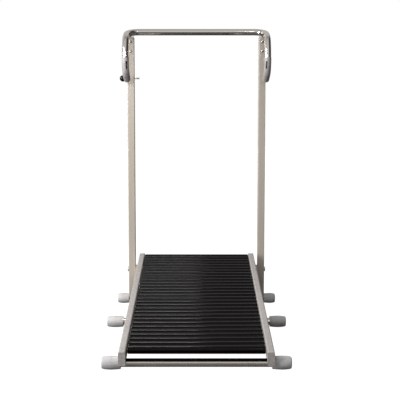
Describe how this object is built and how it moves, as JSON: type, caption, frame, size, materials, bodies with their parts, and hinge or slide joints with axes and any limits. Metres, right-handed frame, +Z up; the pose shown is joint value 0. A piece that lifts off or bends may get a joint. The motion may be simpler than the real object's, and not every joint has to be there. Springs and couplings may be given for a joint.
{
  "type": "roller walker",
  "caption": "Free-standing manual walking trainer: sloping deck of free rollers hinged to two square posts, with a hooked handlebar and a spring lock pin for the folded deck.",
  "frame": {"origin": "centre of the footprint, on the floor", "axes": "+Z up, -Y towards the low front end where a person steps on, +X to the right of a viewer who faces the posts from the front"},
  "size_m": [0.634, 0.948, 1.0935],
  "materials": {
    "champagne_paint": "satin metallic paint",
    "hammered_silver": "speckled silver powder coat",
    "chrome": "polished plating",
    "bright_steel": "drawn and lightly polished",
    "zinc_fasteners": "zinc plated",
    "foot_plastic": "satin moulded",
    "grip_plastic": "satin moulded",
    "black_plastic": "satin moulded",
    "bush_nylon": "machined nylon",
    "roller_plastic": "extruded sleeve, slight sheen"
  },
  "bodies": {
    "base_frame": {"left_post": "champagne_paint", "right_post": "champagne_paint", "rear_cross_tube": "bright_steel", "middle_cross_tube": "bright_steel", "left_strut": "champagne_paint", "right_strut": "champagne_paint", "rear_feet": "foot_plastic", "middle_feet": "foot_plastic", "handlebar": "chrome", "handlebar_spigots": "chrome", "left_grip": "grip_plastic", "right_grip": "grip_plastic", "handlebar_bolts": "zinc_fasteners", "pivot_bolts": "zinc_fasteners", "pivot_nuts": "zinc_fasteners", "pivot_washers": "zinc_fasteners", "lock_guide_bush": "bright_steel"},
    "deck": {"left_rail": "hammered_silver", "right_rail": "hammered_silver", "front_cross_tube": "bright_steel", "front_feet": "foot_plastic", "roller_axles": "bright_steel", "deck_stretchers": "hammered_silver", "hinge_lugs": "hammered_silver", "pivot_bushes": "bush_nylon", "rail_end_plugs": "grip_plastic"},
    "lock": {"lock_pin": "bright_steel", "lock_knob": "black_plastic", "lock_spring": "bright_steel"},
    "roller_01_body": {"roller_01": "roller_plastic"},
    "roller_02_body": {"roller_02": "roller_plastic"},
    "roller_03_body": {"roller_03": "roller_plastic"},
    "roller_04_body": {"roller_04": "roller_plastic"},
    "roller_05_body": {"roller_05": "roller_plastic"},
    "roller_06_body": {"roller_06": "roller_plastic"},
    "roller_07_body": {"roller_07": "roller_plastic"},
    "roller_08_body": {"roller_08": "roller_plastic"},
    "roller_09_body": {"roller_09": "roller_plastic"},
    "roller_10_body": {"roller_10": "roller_plastic"},
    "roller_11_body": {"roller_11": "roller_plastic"},
    "roller_12_body": {"roller_12": "roller_plastic"},
    "roller_13_body": {"roller_13": "roller_plastic"},
    "roller_14_body": {"roller_14": "roller_plastic"},
    "roller_15_body": {"roller_15": "roller_plastic"},
    "roller_16_body": {"roller_16": "roller_plastic"},
    "roller_17_body": {"roller_17": "roller_plastic"},
    "roller_18_body": {"roller_18": "roller_plastic"},
    "roller_19_body": {"roller_19": "roller_plastic"},
    "roller_20_body": {"roller_20": "roller_plastic"},
    "roller_21_body": {"roller_21": "roller_plastic"},
    "roller_22_body": {"roller_22": "roller_plastic"},
    "roller_23_body": {"roller_23": "roller_plastic"},
    "roller_24_body": {"roller_24": "roller_plastic"},
    "roller_25_body": {"roller_25": "roller_plastic"},
    "roller_26_body": {"roller_26": "roller_plastic"},
    "roller_27_body": {"roller_27": "roller_plastic"},
    "roller_28_body": {"roller_28": "roller_plastic"},
    "roller_29_body": {"roller_29": "roller_plastic"}
  },
  "joints": [
    {"name": "deck_fold", "type": "hinge", "parent": "base_frame", "child": "deck", "pos_m": [0, 0.4535, 0.139], "axis": [-1, 0, 0], "range_deg": [0, 87]},
    {"name": "lock_pull", "type": "slide", "parent": "base_frame", "child": "lock", "axis": [-1, 0, 0], "range_m": [0, 0.012], "stiffness_N_per_m": 400, "springref_m": -0.006, "deforming": ["lock_spring"]},
    {"name": "roller_01_spin", "type": "hinge", "parent": "deck", "child": "roller_01_body", "pos_m": [0, -0.4035, 0.046], "axis": [1, 0, 0], "continuous": true},
    {"name": "roller_02_spin", "type": "hinge", "parent": "deck", "child": "roller_02_body", "pos_m": [0, -0.37395, 0.05116], "axis": [1, 0, 0], "continuous": true},
    {"name": "roller_03_spin", "type": "hinge", "parent": "deck", "child": "roller_03_body", "pos_m": [0, -0.34439, 0.05632], "axis": [1, 0, 0], "continuous": true},
    {"name": "roller_04_spin", "type": "hinge", "parent": "deck", "child": "roller_04_body", "pos_m": [0, -0.31484, 0.06147], "axis": [1, 0, 0], "continuous": true},
    {"name": "roller_05_spin", "type": "hinge", "parent": "deck", "child": "roller_05_body", "pos_m": [0, -0.28529, 0.06663], "axis": [1, 0, 0], "continuous": true},
    {"name": "roller_06_spin", "type": "hinge", "parent": "deck", "child": "roller_06_body", "pos_m": [0, -0.25573, 0.07179], "axis": [1, 0, 0], "continuous": true},
    {"name": "roller_07_spin", "type": "hinge", "parent": "deck", "child": "roller_07_body", "pos_m": [0, -0.22618, 0.07695], "axis": [1, 0, 0], "continuous": true},
    {"name": "roller_08_spin", "type": "hinge", "parent": "deck", "child": "roller_08_body", "pos_m": [0, -0.19663, 0.08211], "axis": [1, 0, 0], "continuous": true},
    {"name": "roller_09_spin", "type": "hinge", "parent": "deck", "child": "roller_09_body", "pos_m": [0, -0.16707, 0.08726], "axis": [1, 0, 0], "continuous": true},
    {"name": "roller_10_spin", "type": "hinge", "parent": "deck", "child": "roller_10_body", "pos_m": [0, -0.13752, 0.09242], "axis": [1, 0, 0], "continuous": true},
    {"name": "roller_11_spin", "type": "hinge", "parent": "deck", "child": "roller_11_body", "pos_m": [0, -0.10797, 0.09758], "axis": [1, 0, 0], "continuous": true},
    {"name": "roller_12_spin", "type": "hinge", "parent": "deck", "child": "roller_12_body", "pos_m": [0, -0.07841, 0.10274], "axis": [1, 0, 0], "continuous": true},
    {"name": "roller_13_spin", "type": "hinge", "parent": "deck", "child": "roller_13_body", "pos_m": [0, -0.04886, 0.10789], "axis": [1, 0, 0], "continuous": true},
    {"name": "roller_14_spin", "type": "hinge", "parent": "deck", "child": "roller_14_body", "pos_m": [0, -0.01931, 0.11305], "axis": [1, 0, 0], "continuous": true},
    {"name": "roller_15_spin", "type": "hinge", "parent": "deck", "child": "roller_15_body", "pos_m": [0, 0.01025, 0.11821], "axis": [1, 0, 0], "continuous": true},
    {"name": "roller_16_spin", "type": "hinge", "parent": "deck", "child": "roller_16_body", "pos_m": [0, 0.0398, 0.12337], "axis": [1, 0, 0], "continuous": true},
    {"name": "roller_17_spin", "type": "hinge", "parent": "deck", "child": "roller_17_body", "pos_m": [0, 0.06935, 0.12853], "axis": [1, 0, 0], "continuous": true},
    {"name": "roller_18_spin", "type": "hinge", "parent": "deck", "child": "roller_18_body", "pos_m": [0, 0.09891, 0.13368], "axis": [1, 0, 0], "continuous": true},
    {"name": "roller_19_spin", "type": "hinge", "parent": "deck", "child": "roller_19_body", "pos_m": [0, 0.12846, 0.13884], "axis": [1, 0, 0], "continuous": true},
    {"name": "roller_20_spin", "type": "hinge", "parent": "deck", "child": "roller_20_body", "pos_m": [0, 0.15801, 0.144], "axis": [1, 0, 0], "continuous": true},
    {"name": "roller_21_spin", "type": "hinge", "parent": "deck", "child": "roller_21_body", "pos_m": [0, 0.18757, 0.14916], "axis": [1, 0, 0], "continuous": true},
    {"name": "roller_22_spin", "type": "hinge", "parent": "deck", "child": "roller_22_body", "pos_m": [0, 0.21712, 0.15432], "axis": [1, 0, 0], "continuous": true},
    {"name": "roller_23_spin", "type": "hinge", "parent": "deck", "child": "roller_23_body", "pos_m": [0, 0.24667, 0.15947], "axis": [1, 0, 0], "continuous": true},
    {"name": "roller_24_spin", "type": "hinge", "parent": "deck", "child": "roller_24_body", "pos_m": [0, 0.27623, 0.16463], "axis": [1, 0, 0], "continuous": true},
    {"name": "roller_25_spin", "type": "hinge", "parent": "deck", "child": "roller_25_body", "pos_m": [0, 0.30578, 0.16979], "axis": [1, 0, 0], "continuous": true},
    {"name": "roller_26_spin", "type": "hinge", "parent": "deck", "child": "roller_26_body", "pos_m": [0, 0.33533, 0.17495], "axis": [1, 0, 0], "continuous": true},
    {"name": "roller_27_spin", "type": "hinge", "parent": "deck", "child": "roller_27_body", "pos_m": [0, 0.36489, 0.1801], "axis": [1, 0, 0], "continuous": true},
    {"name": "roller_28_spin", "type": "hinge", "parent": "deck", "child": "roller_28_body", "pos_m": [0, 0.39444, 0.18526], "axis": [1, 0, 0], "continuous": true},
    {"name": "roller_29_spin", "type": "hinge", "parent": "deck", "child": "roller_29_body", "pos_m": [0, 0.42399, 0.19042], "axis": [1, 0, 0], "continuous": true}
  ]
}
